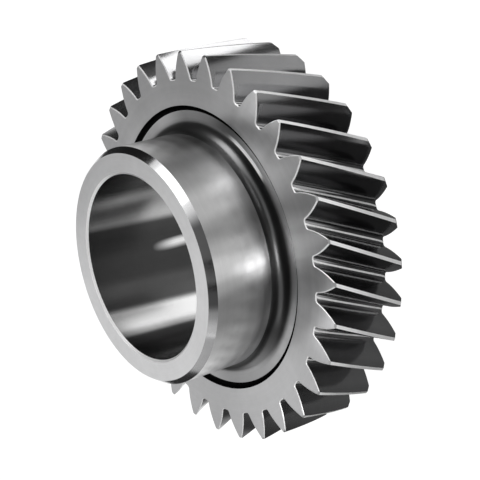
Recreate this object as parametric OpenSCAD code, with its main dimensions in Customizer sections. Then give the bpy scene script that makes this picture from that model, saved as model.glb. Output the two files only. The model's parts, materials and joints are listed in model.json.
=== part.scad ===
// Helical transmission gear: one turned and hobbed piece of steel with an
// open bore, a hub on one side and a shallow relief round the hub's foot.
// The gear stands on its rear face: the axis is Z, the rear face lies at
// z = 0, and a tooth is centred on the X axis at the rear face.

/* [Teeth] */
// Number of teeth
teeth = 31; // [30:1:42]
// Module square to the helix
normal_module = 3.5; // [3.3:0.05:4.5]
// Pressure angle square to the helix, in degrees
pressure_angle = 22.5; // [20:0.5:25]
// Helix angle at the pitch circle, right-handed, in degrees
helix_angle = 24.7; // [10:0.1:30]
// Height of a tooth above the pitch circle, in modules
addendum = 1.283; // [1:0.001:1.35]
// Depth of a tooth space below the pitch circle, in modules
dedendum = 1.286; // [1.15:0.001:1.4]
// How much thinner than half a pitch each tooth is, for oil and backlash
tooth_thinning = 0.2; // [0.05:0.05:0.6]
// Radius of the fillet at the foot of each flank
root_fillet = 1; // [0.6:0.1:1.2]
// Chamfer of the tooth tips at the front face
front_tip_chamfer = 0.5; // [0.2:0.1:2]
// Chamfer of the tooth tips at the rear face
rear_tip_chamfer = 1.8; // [0.2:0.1:2.5]

/* [Body] */
// Width of the toothed rim, from the rear face to the front face
face_width = 28.2; // [20:0.2:40]
// Diameter of the bore
bore_d = 60; // [50:0.5:66]
// Edge break at both ends of the bore
bore_chamfer = 0.7; // [0.2:0.1:1.2]

/* [Hub] */
// Height of the hub above the front face
hub_height = 25.8; // [15:0.2:40]
// Thickness of the hub's wall
hub_wall = 8.4; // [6:0.1:11]
// Height of the chamfer round the nose of the hub
nose_chamfer_h = 2.3; // [0.5:0.1:4]
// Width of the chamfer round the nose of the hub
nose_chamfer_w = 1.7; // [0.5:0.1:3]
// Radius of the fillet at the foot of the hub
hub_foot_r = 4.4; // [2:0.1:4.5]

/* [Relief round the hub] */
// Width of the relief, from the hub to its outer edge
relief_w = 8.3; // [7:0.1:9.5]
// Depth of the relief below the front face
relief_depth = 1.2; // [0.5:0.1:1.5]
// Width of the hollow that rises from the floor to the outer edge
relief_hollow_w = 1.5; // [1.5:0.1:2.5]

/* [Hidden] */
// Facets that the preview draws a full turn with
$fn = 180;
// How far a cutter runs past the surface that it cuts
overrun = 0.5;
// Points along each flank and along each root fillet
flank_steps = 6;
fillet_steps = 3;
// Slices of the helix between the two faces
helix_slices = 5;
// Degrees in a radian
rad = 180 / PI;

bore_r = bore_d / 2;
hub_r = bore_r + hub_wall;
nose_z = face_width + hub_height;
relief_floor_z = face_width - relief_depth;
// Radius of the arc that spans the hollow's width and depth
hollow_r = (pow(relief_hollow_w, 2) + pow(relief_depth, 2)) / relief_depth / 2;

pitch_r = teeth * normal_module / cos(helix_angle) / 2;
tip_r = pitch_r + addendum * normal_module;
root_r = pitch_r - dedendum * normal_module;
// Pressure angle and tooth thickness in a plane square to the axis
transverse_angle = atan(tan(pressure_angle) / cos(helix_angle));
tooth_thickness = PI * pitch_r / teeth - tooth_thinning;
base_r = pitch_r * cos(transverse_angle);
// Turn of the helix for each millimetre along the axis, in degrees
helix_rate = tan(helix_angle) / pitch_r * rad;

// Involute function of the angle a, in degrees
function involute(a) = tan(a) * rad - a;

// Angle from the middle of a tooth space to its flank at the radius r
function half_space(r) =
    180 / teeth
    - tooth_thickness / 2 / pitch_r * rad
    - involute(transverse_angle)
    + involute(acos(min(1, base_r / r)));

function polar(r, a) = [r * cos(a), r * sin(a)];

// The root fillet's centre lies on an involute parallel to the flank, one
// fillet radius away, so that the fillet meets flank and root smoothly
fillet_centre_r = root_r + root_fillet;
fillet_centre_a = half_space(fillet_centre_r) - root_fillet / base_r * rad;
// Length of the line from the fillet's centre that touches the base circle
fillet_tangent = sqrt(pow(fillet_centre_r, 2) - pow(base_r, 2));
// Direction and radius at which the fillet meets the flank
fillet_end_a = fillet_centre_a + 90 + atan(fillet_tangent / base_r);
flank_start_r = norm([base_r, fillet_tangent - root_fillet]);

// One side of a tooth space, from the middle of its root outwards
space_side = [
    for (i = [0 : fillet_steps])
        let (a = 180 + fillet_centre_a
            + (fillet_end_a - fillet_centre_a - 180) * i / fillet_steps)
        polar(fillet_centre_r, fillet_centre_a) + polar(root_fillet, a),
    for (i = [1 : flank_steps])
        let (r = flank_start_r
            + (tip_r + overrun - flank_start_r) * i / flank_steps)
        polar(r, half_space(r))
];
other_side = [
    for (i = [len(space_side) - 1 : -1 : 0])
        [space_side[i].x, -space_side[i].y]
];
space_outline = concat(space_side, other_side);

// Half section of the turned blank, before the relief is cut into it
module blank_section() {
    polygon([
        [bore_r + bore_chamfer, 0],
        [tip_r - rear_tip_chamfer, 0],
        [tip_r, rear_tip_chamfer],
        [tip_r, face_width - front_tip_chamfer],
        [tip_r - front_tip_chamfer, face_width],
        [hub_r, face_width],
        [hub_r, nose_z - nose_chamfer_h],
        [hub_r - nose_chamfer_w, nose_z],
        [bore_r + bore_chamfer, nose_z],
        [bore_r, nose_z - bore_chamfer],
        [bore_r, bore_chamfer]
    ]);
}

// Half section of the relief: a flat floor that ends in a hollow edge
module relief_section() {
    floor_w = relief_w - relief_hollow_w;
    translate([hub_r, relief_floor_z]) {
        square([floor_w, relief_depth + overrun]);
        intersection() {
            translate([floor_w, hollow_r])
                circle(hollow_r);
            translate([floor_w - overrun, 0])
                square([relief_hollow_w + overrun, relief_depth]);
        }
    }
}

// Half section of the fillet between the hub and the floor of the relief
module hub_foot_section() {
    translate([hub_r, relief_floor_z])
        difference() {
            translate([-overrun, -overrun])
                square(hub_foot_r + overrun);
            translate([hub_foot_r, hub_foot_r])
                circle(hub_foot_r);
        }
}

module turned_body() {
    rotate_extrude() {
        difference() {
            blank_section();
            relief_section();
        }
        hub_foot_section();
    }
}

// The space between two teeth, twisted along the helix and open at both faces
module tooth_space() {
    cut_length = face_width + 2 * overrun;
    translate([0, 0, -overrun])
        rotate(-helix_rate * overrun)
            linear_extrude(
                height = cut_length,
                twist = -helix_rate * cut_length,
                slices = helix_slices,
                segments = len(space_outline)
            )
                polygon(space_outline);
}

module gear() {
    color("silver")
        difference() {
            turned_body();
            for (i = [0 : teeth - 1])
                rotate((i + 0.5) * 360 / teeth)
                    tooth_space();
        }
}

gear();
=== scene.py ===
"""Transmission gear: a finer steel gear in place of the plain CAD one.

The gear stands on its rear face with the hub up, as the CAD part does. The
camera is rolled, so that its axis lies across the picture.
"""
import json
import math

import bmesh
import bpy
from mathutils import Matrix, Quaternion, Vector


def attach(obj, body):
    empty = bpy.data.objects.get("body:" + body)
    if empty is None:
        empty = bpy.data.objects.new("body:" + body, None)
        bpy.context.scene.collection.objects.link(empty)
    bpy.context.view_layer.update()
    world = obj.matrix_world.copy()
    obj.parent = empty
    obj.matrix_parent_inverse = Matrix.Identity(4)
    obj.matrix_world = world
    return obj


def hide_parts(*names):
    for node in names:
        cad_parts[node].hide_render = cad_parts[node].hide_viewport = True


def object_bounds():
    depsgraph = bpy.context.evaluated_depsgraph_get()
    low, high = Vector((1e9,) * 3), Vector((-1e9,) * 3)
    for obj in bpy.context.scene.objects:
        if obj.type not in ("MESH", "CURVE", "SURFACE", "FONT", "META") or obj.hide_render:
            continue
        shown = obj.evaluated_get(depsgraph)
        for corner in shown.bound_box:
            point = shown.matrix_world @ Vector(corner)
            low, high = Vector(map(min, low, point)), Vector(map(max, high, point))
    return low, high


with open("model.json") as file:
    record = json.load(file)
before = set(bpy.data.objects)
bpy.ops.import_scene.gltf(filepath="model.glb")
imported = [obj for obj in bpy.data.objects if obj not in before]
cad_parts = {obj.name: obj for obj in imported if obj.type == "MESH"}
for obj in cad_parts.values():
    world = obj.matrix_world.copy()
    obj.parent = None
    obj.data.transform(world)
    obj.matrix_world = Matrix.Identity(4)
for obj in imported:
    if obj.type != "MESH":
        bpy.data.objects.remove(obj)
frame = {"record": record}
cad_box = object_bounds()
mounts = {mount["name"]: mount for mount in frame["record"]["mounts"]}

MM = 0.001

# The gear's sizes in millimetres: the main ones come from the frame
tip_r = cad_box[1][0] / MM
nose_z = cad_box[1][2] / MM
bore_r = mounts["bore"]["dims"]["r_mm"]
hub_r = mounts["hub_seat"]["dims"]["r_mm"]

teeth = 31
normal_module = 3.5
pressure_angle = math.radians(22.5)
helix_angle = math.radians(24.7)
dedendum = 1.286
tooth_thinning = 0.2
root_fillet = 1.0
front_tip_chamfer = 0.5
rear_tip_chamfer = 1.8
face_width = 28.2
bore_chamfer = 0.7
nose_chamfer_h = 2.3
nose_chamfer_w = 1.7
hub_foot_r = 4.4
relief_w = 8.3
relief_depth = 1.2
relief_hollow_w = 1.5
# Broken edges that the plain model leaves sharp
outline_break = 0.28
relief_break = 0.25
# The painted highlight line along each root, and how far in the end faces' first ring lies
root_line_w = 0.6
rim_under_root = 0.8

pitch = math.tau / teeth
pitch_r = teeth * normal_module / math.cos(helix_angle) / 2
root_r = pitch_r - dedendum * normal_module
transverse_angle = math.atan(math.tan(pressure_angle) / math.cos(helix_angle))
base_r = pitch_r * math.cos(transverse_angle)
tooth_thickness = math.pi * pitch_r / teeth - tooth_thinning
helix_turn = face_width * math.tan(helix_angle) / pitch_r
relief_floor_z = face_width - relief_depth
relief_r = hub_r + relief_w
hollow_r = (relief_hollow_w**2 + relief_depth**2) / relief_depth / 2

# How finely the curves are divided
flank_steps = 9
fillet_steps = 4
helix_steps = 16
arc_steps = 9
smooth_below = math.radians(18)

# Small distances, in metres, for welding points and for cuts
weld = 1e-6
cut_slack = 1e-7
# A radius counts as the root's or the tip's when it is this near, in millimetres
near = 0.01
# How upright the normals are of an end face, and at most of a tooth's flank
end_face_normal = 0.99
flank_normal = 0.6


def involute(angle):
    return math.tan(angle) - angle


def half_space(r):
    """Angle from the middle of a tooth space to its flank."""
    flank = involute(math.acos(min(1, base_r / r))) - involute(transverse_angle)
    return pitch / 2 - tooth_thickness / 2 / pitch_r + flank


def polar(r, angle):
    return Vector((r * math.cos(angle), r * math.sin(angle), 0))


def half_tooth():
    """Outline from the middle of a root up to the middle of the tip."""
    centre_r = root_r + root_fillet
    centre_a = half_space(centre_r) - root_fillet / base_r
    tangent = math.sqrt(centre_r**2 - base_r**2)
    end_a = centre_a + math.pi / 2 + math.atan(tangent / base_r)
    start_r = math.hypot(base_r, tangent - root_fillet)
    points = [polar(root_r, 0), polar(root_r, root_line_w / 2 / root_r)]
    for i in range(fillet_steps + 1):
        angle = math.pi + centre_a
        angle += (end_a - angle) * i / fillet_steps
        points.append(polar(centre_r, centre_a) + polar(root_fillet, angle))
    for i in range(1, flank_steps + 1):
        r = start_r + (tip_r - start_r) * i / flank_steps
        points.append(polar(r, half_space(r)))
    points.append(polar(tip_r, pitch / 2))
    turn_back = Matrix.Rotation(-pitch / 2, 3, "Z")
    return [turn_back @ point for point in points]


def arc(centre, radius, start, end):
    """Points of the half section along an arc, as (r, z), in degrees."""
    points = []
    for i in range(arc_steps + 1):
        angle = math.radians(start + (end - start) * i / arc_steps)
        r = centre[0] + radius * math.cos(angle)
        points.append((r, centre[1] + radius * math.sin(angle)))
    return points


def turned_section():
    """The half section from the front face over the hub to the rear face."""
    hollow_centre = (relief_r - relief_hollow_w, relief_floor_z + hollow_r)
    hollow_end = math.degrees(math.asin((relief_depth - hollow_r) / hollow_r))
    hollow = arc(hollow_centre, hollow_r, hollow_end, -90)
    foot_centre = (hub_r + hub_foot_r, relief_floor_z + hub_foot_r)
    return {
        "face": [(root_r - rim_under_root, face_width), (relief_r + relief_break, face_width)],
        "relief_edge": [hollow[1]],
        "hollow": hollow[2:],
        "relief": arc(foot_centre, hub_foot_r, -90, -180),
        "hub": [(hub_r, nose_z - nose_chamfer_h)],
        "chamfer": [(hub_r - nose_chamfer_w, nose_z)],
        "nose": [(bore_r + bore_chamfer, nose_z)],
        "nose_edge": [(bore_r, nose_z - bore_chamfer)],
        "bore": [(bore_r, bore_chamfer)],
        "rear_edge": [(bore_r + bore_chamfer, 0)],
    }


def is_edge(item):
    return isinstance(item, bmesh.types.BMEdge)


def extrude_ring(bm, edges, r, z, turn=0.0):
    """Extrudes a chain of edges on to a circle round the axis."""
    grown = bmesh.ops.extrude_edge_only(bm, edges=edges)["geom"]
    verts = {item for item in grown if isinstance(item, bmesh.types.BMVert)}
    for vert in verts:
        angle = math.atan2(vert.co.y, vert.co.x) + turn
        vert.co = polar(r * MM, angle)
        vert.co.z = z * MM
    return [item for item in grown if is_edge(item) and all(vert in verts for vert in item.verts)]


FINISHES = [
    "turned_steel", "hobbed_steel", "ground_steel", "honed_steel", "painted_glint_edge",
    "chamfer_steel", "groove_painted_shade", "nose_steel", "relief_steel", "face_steel",
]
# The finish of each part of the turned section
FINISH_OF = {
    "face": "face_steel",
    "relief_edge": "groove_painted_shade",
    "hollow": "groove_painted_shade",
    "relief": "relief_steel",
    "hub": "ground_steel",
    "chamfer": "chamfer_steel",
    "nose": "nose_steel",
    "nose_edge": "painted_glint_edge",
    "bore": "honed_steel",
    "rear_edge": "turned_steel",
}


def set_finish(bm, known, finish):
    """Gives every face made since the last call its finish."""
    for face in bm.faces:
        if face not in known:
            face.material_index = FINISHES.index(finish)
            known.add(face)


def chamfer_tip(bm, r, z, angle, up):
    """Cuts the tip of the tooth at one end and closes the cut."""
    point = polar(r * MM, angle) + Vector((0, 0, z * MM))
    normal = polar(1, angle) + Vector((0, 0, up))
    cut = bmesh.ops.bisect_plane(
        bm, geom=bm.verts[:] + bm.edges[:] + bm.faces[:],
        dist=cut_slack, plane_co=point, plane_no=normal.normalized(), clear_outer=True,
    )
    edges = [item for item in cut["geom_cut"] if is_edge(item)]
    for face in bmesh.ops.edgeloop_fill(bm, edges=edges)["faces"]:
        face.material_index = FINISHES.index("turned_steel")


def brighten_lands(bm):
    """Painted highlights: the tops of the teeth and a line along each root are bright."""
    for face in bm.faces:
        middle = face.calc_center_median()
        radii = [vert.co.xy.length / MM for vert in face.verts]
        space = helix_turn * middle.z / MM / face_width - pitch / 2
        off = (math.atan2(middle.y, middle.x) - space + pitch / 2) % pitch - pitch / 2
        on_line = max(radii) < root_r + near and abs(off) * root_r < root_line_w / 2
        if min(radii) > tip_r - near or on_line:
            face.material_index = FINISHES.index("painted_glint_edge")


def gear_mesh():
    """One pitch of the gear, with one tooth, repeated round the axis."""
    bm = bmesh.new()
    known = set()
    side = half_tooth()
    outline = side + [Vector((p.x, -p.y, 0)) for p in reversed(side[:-1])]
    chain = [bm.verts.new(point * MM) for point in outline]
    rear = [bm.edges.new(pair) for pair in zip(chain, chain[1:])]
    swept = bmesh.ops.spin(
        bm, geom=chain + rear, cent=(0, 0, 0), axis=(0, 0, 1),
        dvec=(0, 0, face_width / helix_steps * MM), angle=helix_turn, steps=helix_steps,
    )
    front = [item for item in swept["geom_last"] if is_edge(item)]
    set_finish(bm, known, "hobbed_steel")
    brighten_lands(bm)
    for name, points in turned_section().items():
        for r, z in points:
            front = extrude_ring(bm, front, r, z)
        set_finish(bm, known, FINISH_OF[name])
    extrude_ring(bm, front, root_r - rim_under_root, 0, -helix_turn)
    extrude_ring(bm, rear, root_r - rim_under_root, 0)
    set_finish(bm, known, "turned_steel")
    bmesh.ops.remove_doubles(bm, verts=bm.verts, dist=weld)
    chamfer_tip(bm, tip_r - rear_tip_chamfer, 0, 0, -1)
    chamfer_tip(bm, tip_r - front_tip_chamfer, face_width, helix_turn, 1)
    bmesh.ops.spin(
        bm, geom=bm.verts[:] + bm.edges[:] + bm.faces[:], cent=(0, 0, 0), axis=(0, 0, 1),
        angle=math.tau - pitch, steps=teeth - 1, use_duplicate=True,
    )
    bmesh.ops.remove_doubles(bm, verts=bm.verts, dist=weld)
    bmesh.ops.recalc_face_normals(bm, faces=bm.faces)
    return bm


def is_end_edge(edge):
    """True for the edges between a tooth's flanks and an end face."""
    if len(edge.link_faces) != 2:
        return False
    upright = sorted(abs(face.normal.z) for face in edge.link_faces)
    on_tooth = min(vert.co.xy.length for vert in edge.verts) > (root_r - 10 * near) * MM
    return upright[1] > end_face_normal and upright[0] < flank_normal and on_tooth


def make_gear():
    bm = gear_mesh()
    # The broken edges get the painted glint finish
    bmesh.ops.bevel(
        bm, geom=[edge for edge in bm.edges if is_end_edge(edge)], affect="EDGES",
        offset=outline_break * MM, offset_type="OFFSET", segments=1, profile=0.5,
        material=FINISHES.index("painted_glint_edge"), clamp_overlap=False,
    )
    bmesh.ops.remove_doubles(bm, verts=bm.verts, dist=weld)
    for face in bm.faces:
        face.smooth = True
    mesh = bpy.data.meshes.new("gear_steel")
    bm.to_mesh(mesh)
    bm.free()
    mesh.set_sharp_from_angle(angle=smooth_below)
    gear = bpy.data.objects.new("gear_steel", mesh)
    bpy.context.scene.collection.objects.link(gear)
    return gear


def mm(*lengths):
    """Lengths given in millimetres, in Blender's metres."""
    return [length * MM for length in lengths]


# Scale, detail and roughness of each noise in the steel
CLOUDS = (45, 4, 0.6)
SPECKS = (350, 3, 0.6)
RIPPLES = (140, 5, 0.65)
FINE_MARKS = (1, 3, 0.7)
WIDE_BANDS = (1, 2, 0.5)
MARKS_PER_BAND = 9
# How each noise varies the shade or the roughness: by how much, and from where
CLOUD_SHADE = (0.30, 0.79)
SPECK_SHADE = 0.12
MARK_SHADE = (0.12, 0.94)
BAND_SHADE = (0.16, 0.92)
BAND_ROUGHNESS = (0.3, 0.85)
# A trace of blue in most of the steel
BLUE = 0.005
# How far the honing lines turn for each length that they climb
HONING_CLIMB = 0.08

# Painted shade at the hub's foot on one side: its angle, its strength and where it fades out
FOOT_SHADE_ANGLE = math.radians(8)
FOOT_SHADE_DEPTH = 0.88
FOOT_SHADE_SIDES = (0.35, 0.8)
HUB_FOOT_SHADE_TOP = mm(28.6, 33.8)
RELIEF_FOOT_SHADE_EDGE = mm(41.5, 43.5)
# Painted shade on the flanks of one side
FLANK_SHADE_ANGLE = math.radians(22)
FLANK_SHADE_SIDES = (0.77, 0.9)
FLANK_SHADE_LEVEL = 0.6
# Painted light and shade: the hub is lighter near its foot than near its nose
HUB_PAINTED_FADE = mm(31, 49)
HUB_PAINTED_FADE_SHADES = (1.3, 0.8)
# A painted highlight, a matt stripe in the relief: radii and turns where it fades in and out
STRIPE_INSIDE = mm(41.7, 42.1)
STRIPE_OUTSIDE = mm(43.0, 43.5)
STRIPE_START = (0.1, 0.125)
STRIPE_END = (0.165, 0.2)
# The painted gleam in the bore fades out between these heights
PAINTED_GLEAM_TOP = mm(18, 31)
PAINTED_GLEAM_SHADE = 0.9

# The runs lean by this much of a turn for each metre of height
RUNS_LEAN = 0.35
# Painted reflections and shade: turn round the axis from 0 to 1, and how bright the steel is there
RELIEF_PAINTED_RUNS = [
    (0.0, 1.5), (0.05, 1.3), (0.08, 1.2), (0.105, 1.1), (0.155, 1.0), (0.22, 0.4), (0.28, 0.48),
    (0.33, 0.92), (0.375, 0.75), (0.5, 0.9), (0.7, 0.8), (0.79, 0.5), (0.855, 0.6), (0.89, 0.7),
    (0.92, 0.95), (0.95, 1.6), (1.0, 1.5),
]
CHAMFER_PAINTED_RUNS = [
    (0.0, 0.12), (0.10, 0.12), (0.13, 1.0), (0.19, 1.0), (0.21, 0.5), (0.5, 0.9), (0.9, 1.0),
    (0.965, 0.9), (0.985, 0.5), (1.0, 0.12),
]
FACE_PAINTED_RUNS = [
    (0.0, 1.6), (0.016, 1.35), (0.029, 0.75), (0.041, 0.5), (0.054, 0.55), (0.066, 0.93),
    (0.129, 1.0), (0.141, 1.3), (0.154, 1.6), (0.166, 1.6), (0.179, 1.4), (0.191, 1.03),
    (0.25, 0.85), (0.34, 0.97), (0.40, 1.1), (0.6, 1.0), (0.71, 0.88), (0.766, 0.82), (0.84, 1.0),
    (0.94, 0.95), (0.966, 1.3), (0.985, 1.6), (1.0, 1.6),
]
HUB_PAINTED_RUNS = [
    (0.0, 0.25), (0.02, 0.45), (0.034, 0.71), (0.048, 0.78), (0.066, 0.54), (0.088, 0.35),
    (0.115, 0.6), (0.135, 0.6), (0.16, 0.36), (0.195, 0.2), (0.22, 0.34), (0.26, 0.66),
    (0.30, 0.5), (0.5, 0.5), (0.7, 0.46), (0.83, 0.72), (0.89, 0.84), (0.935, 0.5),
    (0.975, 0.27), (1.0, 0.25),
]
BORE_PAINTED_RUNS = [
    (0.0, 0.5), (0.30, 0.3), (0.40, 0.28), (0.44, 0.3), (0.475, 0.5), (0.49, 0.06), (0.515, 0.05),
    (0.54, 0.05), (0.575, 0.05), (0.60, 0.09), (0.630, 0.10), (0.645, 1.0), (0.672, 1.0),
    (0.688, 0.5), (0.697, 0.07), (0.74, 0.06), (0.82, 0.4), (1.0, 0.5),
]
BORE_PAINTED_GLEAM = [
    (0.0, 1.0), (0.16, 1.0), (0.20, 0.0), (0.28, 0.0), (0.32, 1.0), (0.40, 1.0), (0.44, 0.0),
    (0.514, 0.0), (0.526, 1.0), (0.540, 0.0), (0.92, 0.0), (0.96, 1.0), (1.0, 1.0),
]


def add_socket(group, name, into=False):
    group.interface.new_socket(
        name=name, in_out="INPUT" if into else "OUTPUT", socket_type="NodeSocketFloat"
    )


def new_group(name):
    group = bpy.data.node_groups.new(name, "ShaderNodeTree")
    return group, group.nodes.new("NodeGroupInput"), group.nodes.new("NodeGroupOutput")


def group_node(tree, group):
    node = tree.nodes.new("ShaderNodeGroup")
    node.node_tree = group
    return node


def math_node(tree, operation, *values):
    """A Math node; each input is a socket or a plain number."""
    node = tree.nodes.new("ShaderNodeMath")
    node.operation = operation
    for socket, value in zip(node.inputs, values):
        if isinstance(value, bpy.types.NodeSocket):
            tree.links.new(value, socket)
        else:
            socket.default_value = value
    return node.outputs["Value"]


def multiply(tree, product, *others):
    for other in others:
        product = math_node(tree, "MULTIPLY", product, other)
    return product


def noise_node(tree, where, scale, detail, roughness):
    """Noise at a place, or along a single value."""
    node = tree.nodes.new("ShaderNodeTexNoise")
    node.inputs["Scale"].default_value = scale
    node.inputs["Detail"].default_value = detail
    node.inputs["Roughness"].default_value = roughness
    if where.type == "VECTOR":
        tree.links.new(where, node.inputs["Vector"])
    else:
        node.noise_dimensions = "1D"
        tree.links.new(where, node.inputs["W"])
    return node.outputs["Fac"]


def ramp_node(tree, value, points):
    """Brightness along a value, from (place, brightness) pairs."""
    node = tree.nodes.new("ShaderNodeValToRGB")
    node.color_ramp.interpolation = "EASE"
    tree.links.new(value, node.inputs["Fac"])
    stops = node.color_ramp.elements
    stops.remove(stops[-1])
    for i, (where, shade) in enumerate(points):
        stop = stops[0] if i == 0 else stops.new(where)
        stop.position = where
        stop.color = (shade, shade, shade, 1)
    return node.outputs["Color"]


def step_node(tree, value, span, start, end):
    """Runs smoothly from one shade to another over a span of the value."""
    node = tree.nodes.new("ShaderNodeMapRange")
    node.interpolation_type = "SMOOTHSTEP"
    node.inputs["From Min"].default_value, node.inputs["From Max"].default_value = span
    node.inputs["To Min"].default_value = start
    node.inputs["To Max"].default_value = end
    tree.links.new(value, node.inputs["Value"])
    return node.outputs["Result"]


def round_place_group():
    """Radius, angle and height of a point round the gear's axis."""
    group, _, out = new_group("round_place")
    for name in ("Radius", "Angle", "Height"):
        add_socket(group, name)
    place = group.nodes.new("ShaderNodeTexCoord")
    split = group.nodes.new("ShaderNodeSeparateXYZ")
    group.links.new(place.outputs["Object"], split.inputs["Vector"])
    x, y, z = split.outputs
    squares = math_node(group, "ADD", multiply(group, x, x), multiply(group, y, y))
    group.links.new(math_node(group, "SQRT", squares), out.inputs["Radius"])
    group.links.new(math_node(group, "ARCTAN2", y, x), out.inputs["Angle"])
    group.links.new(z, out.inputs["Height"])
    return group


def tool_marks_group():
    """Fine lines that a tool or a grinding wheel leaves side by side."""
    group, into, out = new_group("tool_marks")
    for name in ("Across", "Spacing"):
        add_socket(group, name, into=True)
    for name in ("Marks", "Bands"):
        add_socket(group, name)
    across = math_node(group, "DIVIDE", into.outputs["Across"], into.outputs["Spacing"])
    wide = math_node(group, "DIVIDE", across, MARKS_PER_BAND)
    group.links.new(noise_node(group, across, *FINE_MARKS), out.inputs["Marks"])
    group.links.new(noise_node(group, wide, *WIDE_BANDS), out.inputs["Bands"])
    return group


def unevenness_group():
    """Soft clouds with fine specks in the shade, and slow ripples in height."""
    group, _, out = new_group("unevenness")
    for name in ("Clouds", "Ripple"):
        add_socket(group, name)
    place = group.nodes.new("ShaderNodeTexCoord").outputs["Object"]
    soft = math_node(group, "MULTIPLY_ADD", noise_node(group, place, *CLOUDS), *CLOUD_SHADE)
    fine = noise_node(group, place, *SPECKS)
    shade = math_node(group, "MULTIPLY_ADD", fine, SPECK_SHADE, soft)
    group.links.new(shade, out.inputs["Clouds"])
    group.links.new(noise_node(group, place, *RIPPLES), out.inputs["Ripple"])
    return group


ROUND_PLACE = round_place_group()
TOOL_MARKS = tool_marks_group()
UNEVENNESS = unevenness_group()


def by_radius(tree, place):
    return place.outputs["Radius"]


def by_height(tree, place):
    return place.outputs["Height"]


def by_honing(tree, place):
    """Honing lines climb the bore at a steep angle."""
    turned = multiply(tree, place.outputs["Angle"], bore_r * MM)
    climb = multiply(tree, place.outputs["Height"], HONING_CLIMB)
    return math_node(tree, "ADD", turned, climb)


def turn_of(tree, place):
    """The angle round the axis, as a turn from 0 to 1."""
    turn = math_node(tree, "DIVIDE", place.outputs["Angle"], math.tau)
    return math_node(tree, "FRACT", math_node(tree, "ADD", turn, 1))


def painted_runs_round(tree, place, runs):
    """Painted reflections and shade: lighter and darker runs side by side round the axis."""
    lean = multiply(tree, place.outputs["Height"], RUNS_LEAN)
    turn = math_node(tree, "ADD", turn_of(tree, place), lean)
    return ramp_node(tree, math_node(tree, "FRACT", turn), runs)


def facing(tree, place, angle):
    """1 on the side of the gear at this angle, -1 on the far side."""
    return math_node(tree, "COSINE", math_node(tree, "SUBTRACT", place.outputs["Angle"], angle))


def foot_shaded(tree, place, value, edge):
    """The steel under the painted shade at the hub's foot, which fades out at an edge."""
    side = step_node(tree, facing(tree, place, FOOT_SHADE_ANGLE), FOOT_SHADE_SIDES, 0, 1)
    near_foot = step_node(tree, value, edge, 1, 0)
    return math_node(tree, "SUBTRACT", 1, multiply(tree, side, near_foot, FOOT_SHADE_DEPTH))


# Painted shade at the foot, painted light and shade up the hub and painted reflections round it
def hub_shade(tree, place):
    height = place.outputs["Height"]
    painted_foot_shade = foot_shaded(tree, place, height, HUB_FOOT_SHADE_TOP)
    fade = step_node(tree, height, HUB_PAINTED_FADE, *HUB_PAINTED_FADE_SHADES)
    return multiply(tree, painted_foot_shade, fade, painted_runs_round(tree, place, HUB_PAINTED_RUNS))


# Painted shade at the hub's foot and painted reflections round the relief
def relief_shade(tree, place):
    painted_foot_shade = foot_shaded(tree, place, place.outputs["Radius"], RELIEF_FOOT_SHADE_EDGE)
    return multiply(tree, painted_foot_shade, painted_runs_round(tree, place, RELIEF_PAINTED_RUNS))


def relief_highlight_stripe(tree, place):
    """A painted highlight: a short matt stripe that runs round beside the hub's foot."""
    radius = place.outputs["Radius"]
    turn = turn_of(tree, place)
    return multiply(
        tree,
        step_node(tree, radius, STRIPE_INSIDE, 0, 1), step_node(tree, radius, STRIPE_OUTSIDE, 1, 0),
        step_node(tree, turn, STRIPE_START, 0, 1), step_node(tree, turn, STRIPE_END, 1, 0),
    )


# Painted reflections round the nose chamfer
def chamfer_shade(tree, place):
    return painted_runs_round(tree, place, CHAMFER_PAINTED_RUNS)


# Painted light and shade round the front face
def face_shade(tree, place):
    return painted_runs_round(tree, place, FACE_PAINTED_RUNS)


def flank_shade(tree, place):
    """Painted shade darkens the flanks on one side of the gear."""
    return step_node(tree, facing(tree, place, FLANK_SHADE_ANGLE), FLANK_SHADE_SIDES, 1, FLANK_SHADE_LEVEL)


def bore_shade(tree, place):
    """Painted reflections: long runs in the bore, and a short painted gleam low down on one side.
    """
    gleam = ramp_node(tree, turn_of(tree, place), BORE_PAINTED_GLEAM)
    deep = step_node(tree, place.outputs["Height"], PAINTED_GLEAM_TOP, PAINTED_GLEAM_SHADE, 0)
    runs = painted_runs_round(tree, place, BORE_PAINTED_RUNS)
    return math_node(tree, "MAXIMUM", multiply(tree, gleam, deep), runs)


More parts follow.
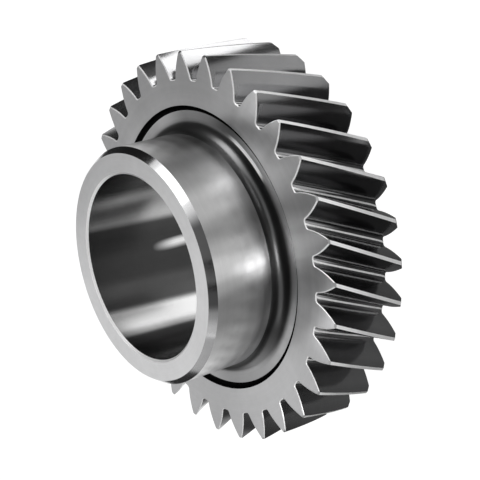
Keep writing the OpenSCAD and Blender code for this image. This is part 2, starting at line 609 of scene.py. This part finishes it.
def steel(
    name, grey, roughness, across, spacing, mark_depth,
    blue=BLUE, metallic=1.0, edge_tint=1.0, ripple=0.0, shade_map=None, matt_highlight_mask=None,
):
    """Bare steel with its tool marks, a soft unevenness and painted light and shade from its shade
    map.
    """
    material = bpy.data.materials.new(name)
    material.use_nodes = True
    tree = material.node_tree
    nodes, links = tree.nodes, tree.links
    shader = nodes["Principled BSDF"]
    shader.inputs["Metallic"].default_value = metallic
    shader.inputs["Specular Tint"].default_value = (edge_tint, edge_tint, edge_tint, 1)
    place = group_node(tree, ROUND_PLACE)
    uneven = group_node(tree, UNEVENNESS)
    marks = group_node(tree, TOOL_MARKS)
    marks.inputs["Spacing"].default_value = spacing
    links.new(across(tree, place), marks.inputs["Across"])
    # Colour: the grey, varied by the bands, the marks, the clouds and the painted runs of light and
    # shade
    bands = math_node(tree, "MULTIPLY_ADD", marks.outputs["Bands"], *BAND_SHADE)
    fine = math_node(tree, "MULTIPLY_ADD", marks.outputs["Marks"], *MARK_SHADE)
    shade = multiply(tree, bands, fine, uneven.outputs["Clouds"])
    if shade_map:
        shade = multiply(tree, shade, shade_map(tree, place))
    colour = nodes.new("ShaderNodeVectorMath")
    colour.operation = "SCALE"
    colour.inputs[0].default_value = (grey, grey, grey + blue)
    links.new(shade, colour.inputs["Scale"])
    # Painted highlight: where the mask is, the steel turns matt and white
    if matt_highlight_mask:
        mask = matt_highlight_mask(tree, place)
        links.new(math_node(tree, "SUBTRACT", 1, mask), shader.inputs["Metallic"])
        lighter = nodes.new("ShaderNodeVectorMath")
        lighter.operation = "MAXIMUM"
        links.new(colour.outputs["Vector"], lighter.inputs[0])
        links.new(mask, lighter.inputs[1])
        colour = lighter
    links.new(colour.outputs["Vector"], shader.inputs["Base Color"])
    spread, least = (roughness * part for part in BAND_ROUGHNESS)
    rough = math_node(tree, "MULTIPLY_ADD", marks.outputs["Bands"], spread, least)
    links.new(rough, shader.inputs["Roughness"])
    bump = nodes.new("ShaderNodeBump")
    bump.inputs["Strength"].default_value = 1
    bump.inputs["Distance"].default_value = mark_depth
    waves = math_node(
        tree, "MULTIPLY_ADD", uneven.outputs["Ripple"], ripple / mark_depth, marks.outputs["Marks"]
    )
    links.new(waves, bump.inputs["Height"])
    links.new(bump.outputs["Normal"], shader.inputs["Normal"])
    return material


TURNED = dict(roughness=0.3, across=by_radius, spacing=0.35 * MM, mark_depth=0.002 * MM)
# The shade maps paint light and shade into the steel's colour
STEELS = {
    "turned_steel": dict(TURNED, grey=0.5),
    "face_steel": dict(TURNED, grey=0.5, shade_map=face_shade),
    "nose_steel": dict(TURNED, grey=0.64),
    "relief_steel": dict(TURNED, grey=0.56, shade_map=relief_shade, matt_highlight_mask=relief_highlight_stripe),
    "chamfer_steel": dict(
        grey=0.6, roughness=0.14, across=by_radius,
        spacing=0.3 * MM, mark_depth=0.001 * MM, shade_map=chamfer_shade,
    ),
    "hobbed_steel": dict(
        grey=0.44, roughness=0.16, across=by_radius,
        spacing=0.5 * MM, mark_depth=0.003 * MM, shade_map=flank_shade,
    ),
    "ground_steel": dict(
        grey=0.98, blue=0, roughness=0.32, across=by_height,
        spacing=0.3 * MM, mark_depth=0.002 * MM, ripple=0.08 * MM, shade_map=hub_shade,
    ),
    "honed_steel": dict(
        grey=1.0, blue=0, roughness=0.22, across=by_honing,
        spacing=0.3 * MM, mark_depth=0.002 * MM, shade_map=bore_shade,
    ),
    # Painted highlight: a near-white, mostly matt finish for the tips, the root lines and the
    # broken edges
    "painted_glint_edge": dict(
        grey=1.0, blue=0, roughness=0.3, across=by_radius,
        spacing=0.5 * MM, mark_depth=0.002 * MM, metallic=0.25,
    ),
    # Painted shade: the hollow round the relief is near black
    "groove_painted_shade": dict(
        grey=0.012, blue=0, roughness=0.5, across=by_radius,
        spacing=0.3 * MM, mark_depth=0.001 * MM, edge_tint=0.0,
    ),
}

gear = make_gear()
for name in FINISHES:
    gear.data.materials.append(steel(name, **STEELS[name]))

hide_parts("gear")
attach(gear, "root")

# Camera: the photograph's angle, with the gear's axis lying across the picture
camera_aim = Vector(mm(0.46, -0.33, 14.1))
camera_distance = 489.1 * MM
camera_azimuth = math.radians(19.67)
camera_height = math.radians(34.64)
camera_roll = math.radians(-106.3)
camera_lens = 111.7
camera_clip_start = 0.01


def towards(azimuth, height):
    """The direction from the gear to a place round it, from two angles."""
    direction = polar(math.cos(height), azimuth)
    direction.z = math.sin(height)
    return direction


def make_camera():
    camera = bpy.data.objects.new("camera", bpy.data.cameras.new("camera"))
    camera.data.lens = camera_lens
    camera.data.clip_start = camera_clip_start
    direction = towards(camera_azimuth, camera_height)
    level = direction.to_track_quat("Z", "Y")
    camera.rotation_mode = "QUATERNION"
    camera.rotation_quaternion = level @ Quaternion((0, 0, 1), camera_roll)
    camera.location = camera_aim + direction * camera_distance
    bpy.context.scene.collection.objects.link(camera)
    bpy.context.scene.camera = camera


LAMP_DISTANCE = 0.9


def softbox(name, azimuth, height, size, strength, glossy=True):
    """A rectangular area lamp that points at the gear; strength is its brightness."""
    data = bpy.data.lights.new(name, "AREA")
    data.shape = "RECTANGLE"
    data.size, data.size_y = size
    data.energy = strength * math.pi * size[0] * size[1]
    lamp = bpy.data.objects.new(name, data)
    direction = towards(math.radians(azimuth), math.radians(height))
    lamp.location = direction * LAMP_DISTANCE
    lamp.rotation_mode = "QUATERNION"
    lamp.rotation_quaternion = direction.to_track_quat("Z", "Y")
    lamp.visible_glossy = glossy
    bpy.context.scene.collection.objects.link(lamp)


# How bright the floor is in the steel, by its distance from the axis as a part of
# the reach: open under the bore, painted shade beside the teeth, white, then painted dark far off
FLOOR_REACH = 0.2
FLOOR_LIGHT = [
    (0.150, 1.0), (0.158, 0.02), (0.30, 0.12), (0.335, 0.10), (0.395, 0.05), (0.425, 0.3),
    (0.46, 1.0), (0.8, 1.0), (0.97, 0.03),
]
FLOOR_SIZE = 4
FLOOR_GLOW = 0.92
FLOOR_SHADE = 0.35


def make_floor():
    """A white floor; metal sees it too, dimmer right beside the gear as painted shade."""
    mesh = bpy.data.meshes.new("floor")
    bm = bmesh.new()
    bmesh.ops.create_grid(bm, x_segments=1, y_segments=1, size=FLOOR_SIZE)
    bm.to_mesh(mesh)
    bm.free()
    floor = bpy.data.objects.new("floor", mesh)
    bpy.context.scene.collection.objects.link(floor)
    material = bpy.data.materials.new("white_floor")
    material.use_nodes = True
    tree = material.node_tree
    nodes, links = tree.nodes, tree.links
    shader = nodes["Principled BSDF"]
    shader.inputs["Roughness"].default_value = 1
    shader.inputs["Specular IOR Level"].default_value = 0
    shader.inputs["Emission Color"].default_value = (1, 1, 1, 1)
    away = nodes.new("ShaderNodeVectorMath")
    away.operation = "LENGTH"
    links.new(nodes.new("ShaderNodeTexCoord").outputs["Object"], away.inputs[0])
    reach = math_node(tree, "DIVIDE", away.outputs["Value"], FLOOR_REACH)
    path = nodes.new("ShaderNodeLightPath").outputs
    mirrored = math_node(tree, "MAXIMUM", path["Is Glossy Ray"], path["Is Transmission Ray"])
    mirrored = multiply(tree, mirrored, ramp_node(tree, reach, FLOOR_LIGHT))
    seen = math_node(tree, "MAXIMUM", path["Is Camera Ray"], mirrored)
    links.new(multiply(tree, seen, FLOOR_GLOW), shader.inputs["Emission Strength"])
    links.new(multiply(tree, seen, FLOOR_SHADE), shader.inputs["Base Color"])
    mesh.materials.append(material)


ROOM_GREY = (0.025, 0.025, 0.025, 1)


def make_world():
    world = bpy.data.worlds.new("studio")
    world.use_nodes = True
    world.node_tree.nodes["Background"].inputs["Color"].default_value = ROOM_GREY
    bpy.context.scene.world = world


make_camera()
make_floor()
make_world()
for name, azimuth, height, size, strength in (
    ("front_box", 214, 35, (0.53, 0.52), 1.0),
    ("front_fill", 182, 36, (0.3, 0.52), 0.5),
    ("top_box", 180, 70, (0.3, 0.3), 1.5),
    ("side_box", 94, 28, (0.7, 0.5), 2.4),
    ("rear_fill", 265, 27, (1.0, 0.68), 0.55),
    ("near_box", 356, 30, (0.25, 0.22), 9.0),
    ("camera_fill", 40, 42, (0.8, 0.34), 1.15),
    ("right_fill", 316, 35, (0.6, 0.42), 0.75),
    ("low_box", 6, 8, (0.7, 0.14), 0.6),
    ("low_side_box", 56, 8, (0.54, 0.14), 2.8),
):
    softbox(name, azimuth, height, size, strength)
# Lightens the matt broken edges; the mirror-like steel does not show it
softbox("edge_light", 16, 24, (0.5, 0.5), 2.6, glossy=False)

bpy.context.scene.view_settings.view_transform = "Standard"
